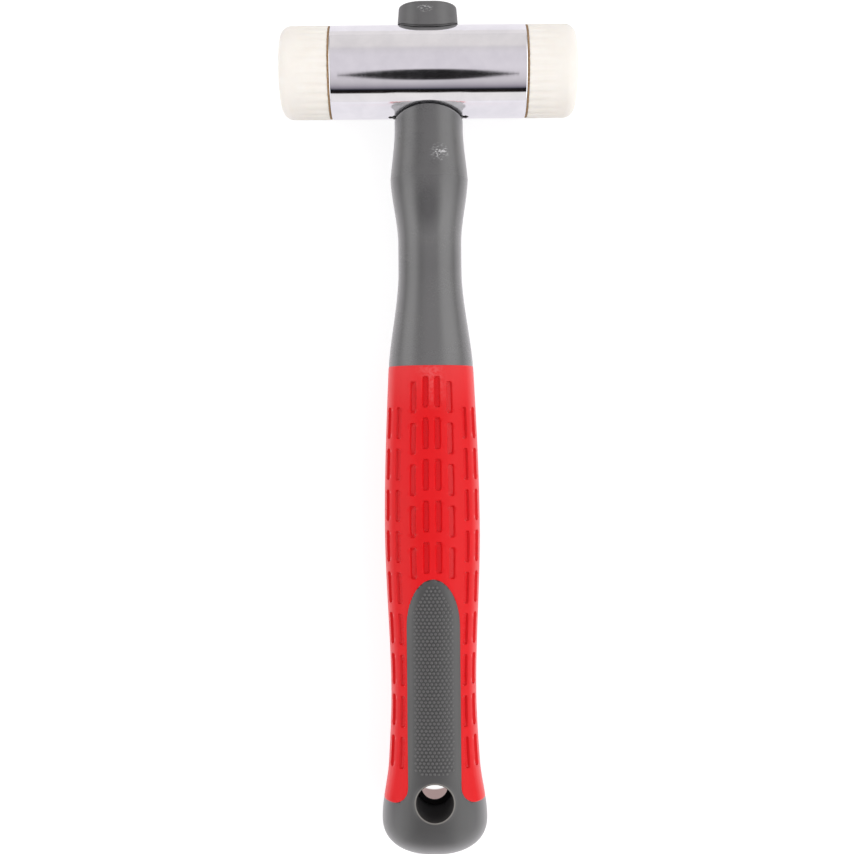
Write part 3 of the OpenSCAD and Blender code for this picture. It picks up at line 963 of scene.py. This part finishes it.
slotShape = {
    "length": 11.0,
    "width": 2.2,
    "depth": 0.8,
    "soften": 0.10,         # rounding of a slot's upper edge
    "wall": 0.20,           # width of its sloping wall
    "pitch": 14.2,
    # angle from the front, place of the first slot, slots in the column
    "columns": ((6.3, 107.2, 5), (21.8, 109.1, 5), (43.8, 117.9, 9), (66.0, 117.9, 9)),
    # grid lines in from a slot's ends, and out from its middle line
    "endLines": (-0.12, 0.03, 0.22, 0.55, 1.1),
    "sideLines": (0.45, 0.82, 1.0, 1.12, 1.24),
}


def fillLines(wanted, least, most):
    # sorted grid lines: none closer than the least gap, and wide gaps divided evenly
    wanted = np.sort(np.asarray(wanted, float))
    kept = [wanted[0]]
    for line in wanted[1:]:
        gap = line - kept[-1]
        if gap >= least:
            kept.extend(np.linspace(kept[-1], line, int(np.ceil(gap / most)) + 1)[1:])
    return np.array(kept)


def sleevePlaces():
    # rows follow the slots' round ends, the sleeve's edges and the tongue's tip
    shape, slots = sleeveShape, slotShape
    within = np.array(slots["endLines"])
    lines = [shape["top"] + np.array(shape["topLines"])]
    for _, start, count in slots["columns"]:
        starts = start + slots["pitch"] * np.arange(count)[:, None]
        lines += [(starts + within).ravel(), (starts + slots["length"] - within).ravel()]
    lobe = np.sin(np.radians(np.linspace(0, 90, 17)))
    lines += [shape["tip"] + np.array(shape["tipLines"]), shape["end"] - shape["lobe"] + shape["lobe"] * lobe]
    return fillLines(np.concatenate(lines), *shape["rowGaps"])


def sleeveColumns(places):
    # angles from the front to the side in every row: lines along the slots' edges, even steps between
    off = np.array(slotShape["sideLines"])
    off = np.concatenate([-off[::-1], off])
    groups = [angle + off / perDegree(angle, places) for angle, _, _ in slotShape["columns"]]
    lines = [groups[0]]
    for group in groups[1:] + [np.full_like(places, 90.0)]:
        last, gap = lines[-1][:, -1:], group[:, :1] - lines[-1][:, -1:]
        steps = int(np.ceil(gap.max() / sleeveShape["turnGaps"][1]))
        lines += [last + gap * np.linspace(0, 1, steps + 1)[1:-1], group]
    return np.concatenate(lines, axis=1)


def slotDepthAt(angle, at):
    # depth of the capsule-shaped recesses: full depth inside, a short sloping wall, softened at the skin
    slots = slotShape
    folded = 90 - np.abs(90 - np.abs((angle + 180) % 360 - 180))
    depth = np.zeros(np.broadcast(angle, at).shape)
    for middle, start, count in slots["columns"]:
        row = np.clip(np.floor((at - start) / slots["pitch"]), 0, count - 1)
        along = np.abs(at - start - row * slots["pitch"] - slots["length"] / 2)
        along = np.clip(along - (slots["length"] - slots["width"]) / 2, 0, None)
        away = np.hypot((folded - middle) * perDegree(middle, at), along) - slots["width"] / 2
        wall = smoothStep((slots["soften"] - away) / (slots["soften"] + slots["wall"]))
        depth = np.maximum(depth, slots["depth"] * wall)
    return depth


def makeSleeve(material):
    # each half runs from the front's grey opening round the side to the back's; where there is no opening
    # the halves meet on the middle line
    shape = sleeveShape
    places = sleevePlaces()[:, None]
    rim = angleAcross(tongueHalf(places), places)
    beside = rim + np.array(shape["edgeLines"]) / perDegree(np.maximum(rim, shape["leastTurn"]), places)
    quarter = np.maximum(sleeveColumns(places), beside[:, -1:] + shape["turnGaps"][0])
    front = np.concatenate([beside, quarter], axis=1)
    half = np.concatenate([front, 180 - front[:, -2::-1]], axis=1)
    x, _ = skin(half, places)
    inside = np.clip(insideSleeve(x, places), 0, None)
    roll = 1 - np.sqrt(np.clip(1 - np.clip(1 - inside / shape["edge"], 0, 1) ** 2, 0, 1))
    depth = slotDepthAt(half, places)
    outerX, outerZ = skin(half, places, (shape["valley"] + shape["sink"]) * roll + depth)
    innerX, innerZ = skin(half, places, shape["wall"])
    split = int(np.argmin(np.abs(places[:, 0] - shape["tip"])))
    patches, recess = [], []
    for side in (1, -1):
        outer = toFrame(side * outerX, places, outerZ)
        inner = toFrame(side * innerX, places, innerZ)
        # its two skins, its ends, and its edges along the front's and the back's opening
        rims = [np.stack([outer[end], inner[end]]) for end in (0, -1)]
        rims += [np.stack([outer[split:, end], inner[split:, end]]) for end in (0, -1)]
        patches += [outer, inner] + rims
        recess += [depth / slotShape["depth"]] + [np.zeros(patch.shape[:-1]) for patch in [inner] + rims]
    print("sleeve grid: %d rows, %d columns a half" % outerX.shape)
    buildPiece("gripRed", patches, material, "hammer", "grip_sleeve", {"recess": recess})


chrome, nylon, fibre = chromePlate(), creamNylon(), washerFibre()
makeBarrel(chrome)
for side in (1, -1):
    makeFace(side, nylon)
    makeWasher(side, fibre)
makeJacket(greyPlastic())
makeSleeve(redRubber())
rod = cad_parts["core_rod"]
rod.data.materials.clear()
rod.data.materials.append(rodFibreglass())
print("pieces made")


# floor, light and camera

studio = {
    # colour of the surroundings by angle from straight up towards the butt's side, in degrees
    "bands": ((-180, 0.92, 0.91, 0.97), (-118, 0.92, 0.91, 0.97), (-108, 0.74, 0.715, 0.73),
              (-98, 0.745, 0.715, 0.72), (-85, 0.80, 0.765, 0.765), (-54, 0.79, 0.75, 0.75),
              (-46, 0.70, 0.665, 0.69), (-30, 0.74, 0.70, 0.745), (6, 0.75, 0.71, 0.757),
              (30, 0.66, 0.62, 0.66), (39, 0.58, 0.55, 0.58), (45, 0.47, 0.44, 0.48),
              (51, 0.30, 0.275, 0.32), (55, 0.10, 0.095, 0.12), (56.5, 0.010, 0.010, 0.012),
              (65.5, 0.012, 0.008, 0.006), (67, 0.88, 0.85, 0.84), (93, 0.885, 0.85, 0.865),
              (100, 0.94, 0.91, 0.945), (180, 0.95, 0.91, 0.94)),
    # dark spot over the head: its angle and half height in degrees, its middle and half width, its level
    "spot": (20.5, 14.5, 0.0034, 0.069, 0.02),
    "spotEdge": (0.78, 1.04),
    "spotPower": 2.2,                   # how its height falls off along its length
    "strip": (0.17, 0.30, 0.38),        # the bands fade to this share between these distances across
    # the two long soft lights beside the hammer: where they begin and are full, and their level
    "sides": (0.34, 0.58, 1.76),
    "sidesLeft": 0.09,                  # how far both are moved to the left
    "sidesLow": ((-1.0, -0.88, 0.25), (1.0, 0.84, 0.25)),  # low on the left and right: dimmest, full, share
    # past these angles towards the head's end they fade to that share, and the same towards the butt's end
    "sidesEnd": ((-50.0, -80.0, 0.20), (75.0, 130.0, 0.60)),
    "floorReach": 4.0,                  # half size of the floor and its gap under the hammer, in metres
    "floorGap": 0.0002,
    "plain": 0.85,                      # the floor's white for soft bounced light
    "paper": 0.38,                      # its white for the camera, and a glow added to it: open, and in nooks, where the darker glow is painted contact shade
    "glow": (0.77, 0.77, 0.77, 1),
    "paintedNookShade": (0.36, 0.34, 0.335, 1),
    "nookReach": 0.005,
    "nookOpen": (0.35, 0.85),
    # warm shade on the floor under the butt, then light on it through the lanyard hole: colour, place,
    # half width, half length, and the share of it that is full
    "floorSpots": (((0.29, 0.19, 0.18, 1), 260.0, 16.0, 13.0, 0.35),
                   ((0.98, 0.98, 0.98, 1), 251.1, 8.0, 6.0, 0.92)),
    "mirrored": (0.80, 0.770, 0.81, 1),  # the floor's glow in reflections, near the hammer and far behind it
    "mirroredFar": (0.70, 0.665, 0.665, 1),
    "mirroredPaper": 0.14,
    "far": (0.09, 0.12),                # where the far glow begins and is full, in metres behind the head
}


def makeWorld():
    # bands of light across the head, two soft lights beside the handle, white to the camera
    world = bpy.data.worlds.new("studioWorld")
    scene.world = world
    world.use_nodes = True
    tree = world.node_tree
    direction = tree.nodes.new("ShaderNodeTexCoord").outputs["Generated"]
    part = addNode(tree, "ShaderNodeSeparateXYZ", {0: direction}).outputs
    lean = combine(tree, "ARCTAN2", combine(tree, "MULTIPLY", part["Y"], -1.0), part["Z"])
    turn = combine(tree, "ADD", combine(tree, "DIVIDE", lean, 2 * math.pi), 0.5)
    ramp = addNode(tree, "ShaderNodeValToRGB", {"Fac": turn})
    stops = ramp.color_ramp.elements
    for number, (angle, *colour) in enumerate(studio["bands"]):
        place = (angle + 180) / 360
        stop = stops[number] if number < 2 else stops.new(place)
        stop.position = place
        stop.color = (*colour, 1)
    # the dark spot is a spindle: its height falls off along its length
    angle, tall, middle, wide, level = studio["spot"]
    up = combine(tree, "DIVIDE", combine(tree, "SUBTRACT", lean, math.radians(angle)), math.radians(tall))
    over = combine(tree, "DIVIDE", combine(tree, "SUBTRACT", part["X"], middle), wide)
    over = combine(tree, "POWER", combine(tree, "ABSOLUTE", over), studio["spotPower"])
    far = combine(tree, "ADD", combine(tree, "ABSOLUTE", up), over)
    low, high, least = studio["strip"]
    strip = spread(tree, combine(tree, "ABSOLUTE", part["X"]), low, high, 1.0, least)
    fade = combine(tree, "MULTIPLY", spread(tree, far, *studio["spotEdge"], level, 1.0), strip)
    aside = combine(tree, "ABSOLUTE", combine(tree, "ADD", part["X"], studio["sidesLeft"]))
    begin, full, level = studio["sides"]
    beside = spread(tree, aside, begin, full, 0.0, level)
    for first, last, share in studio["sidesEnd"]:
        kept = spread(tree, lean, math.radians(first), math.radians(last), 1.0, share)
        beside = combine(tree, "MULTIPLY", beside, kept)
    for dimmest, full, share in studio["sidesLow"]:
        beside = combine(tree, "MULTIPLY", beside, spread(tree, part["X"], dimmest, full, share, 1.0))
    bands, lights = (addNode(tree, "ShaderNodeCombineXYZ", {0: level, 1: level, 2: level}).outputs["Vector"]
                     for level in (fade, beside))
    total = vectorMath(tree, "ADD", vectorMath(tree, "MULTIPLY", ramp.outputs["Color"], bands), lights)
    path = tree.nodes.new("ShaderNodeLightPath").outputs
    seen = mixColour(tree, path["Is Camera Ray"], total, (1, 1, 1, 1))
    tree.links.new(seen, tree.nodes["Background"].inputs["Color"])


def dullWhite(tree, level):
    return addNode(tree, "ShaderNodeBsdfDiffuse", {"Color": (level, level, level, 1)}).outputs[0]


def glowing(tree, colour):
    return addNode(tree, "ShaderNodeEmission", {"Color": colour, "Strength": 1.0}).outputs[0]


def paleFloor():
    # white to the camera and in reflections, with the object's soft shadow kept
    material = bpy.data.materials.new("paleFloor")
    material.use_nodes = True
    tree = material.node_tree
    tree.nodes.remove(tree.nodes["Principled BSDF"])
    path = tree.nodes.new("ShaderNodeLightPath").outputs
    place = tree.nodes.new("ShaderNodeNewGeometry").outputs["Position"]
    near, far = (headY + distance for distance in studio["far"])
    behind = spread(tree, alongHandle(tree, place), near, far, 0.0, 1.0)
    shine = glowing(tree, mixColour(tree, behind, studio["mirrored"], studio["mirroredFar"]))
    mirrored = addNode(tree, "ShaderNodeAddShader", {0: shine, 1: dullWhite(tree, studio["mirroredPaper"])})
    # painted contact shade: the glow turns darker where ambient occlusion finds the hammer close by
    nooks = addNode(tree, "ShaderNodeAmbientOcclusion", {"Distance": studio["nookReach"]}, samples=8)
    opened = spread(tree, nooks.outputs["AO"], *studio["nookOpen"], 0.0, 1.0)
    colour = mixColour(tree, opened, studio["paintedNookShade"], studio["glow"])
    for tone, at, wide, long, full in studio["floorSpots"]:
        spot = spotMask(tree, place, (0.0, at, -headRadius), (wide, long, endless), full)
        colour = mixColour(tree, spot, colour, tone)
    paper = dullWhite(tree, studio["paper"])
    lit = addNode(tree, "ShaderNodeAddShader", {0: paper, 1: glowing(tree, colour)})
    bounced = combine(tree, "MAXIMUM", path["Is Glossy Ray"], path["Is Transmission Ray"])
    plain = dullWhite(tree, studio["plain"])
    unseen = addNode(tree, "ShaderNodeMixShader", {0: bounced, 1: plain, 2: mirrored.outputs[0]})
    mix = addNode(tree, "ShaderNodeMixShader", {0: path["Is Camera Ray"], 1: unseen.outputs[0],
                                                2: lit.outputs[0]})
    tree.links.new(mix.outputs[0], tree.nodes["Material Output"].inputs["Surface"])
    return material


def makeFloor():
    # a pale sheet just under the hammer
    mesh = bpy.data.meshes.new("floor")
    reach = studio["floorReach"]
    mesh.from_pydata([(-reach, -reach, 0), (reach, -reach, 0), (reach, reach, 0), (-reach, reach, 0)], [],
                     [(0, 1, 2, 3)])
    floor = bpy.data.objects.new("floor", mesh)
    floor.location.z = cadLow.z - studio["floorGap"]
    scene.collection.objects.link(floor)
    mesh.materials.append(paleFloor())


cameraSetup = {"height": 450.0, "x": -1.55, "at": 124.8, "roll": -0.0092, "lens": 53.9, "sensor": 36.0}


def makeCamera():
    # straight above the hammer, a hand's width below its head
    data = bpy.data.cameras.new("photoCamera")
    data.sensor_fit = "HORIZONTAL"
    data.sensor_width = cameraSetup["sensor"]
    data.lens = cameraSetup["lens"]
    camera = bpy.data.objects.new("photoCamera", data)
    camera.location = toFrame(cameraSetup["x"], cameraSetup["at"], cameraSetup["height"])
    camera.rotation_euler = (0, 0, cameraSetup["roll"])
    scene.collection.objects.link(camera)
    scene.camera = camera


makeWorld()
makeFloor()
makeCamera()
print("floor, light and camera ready")
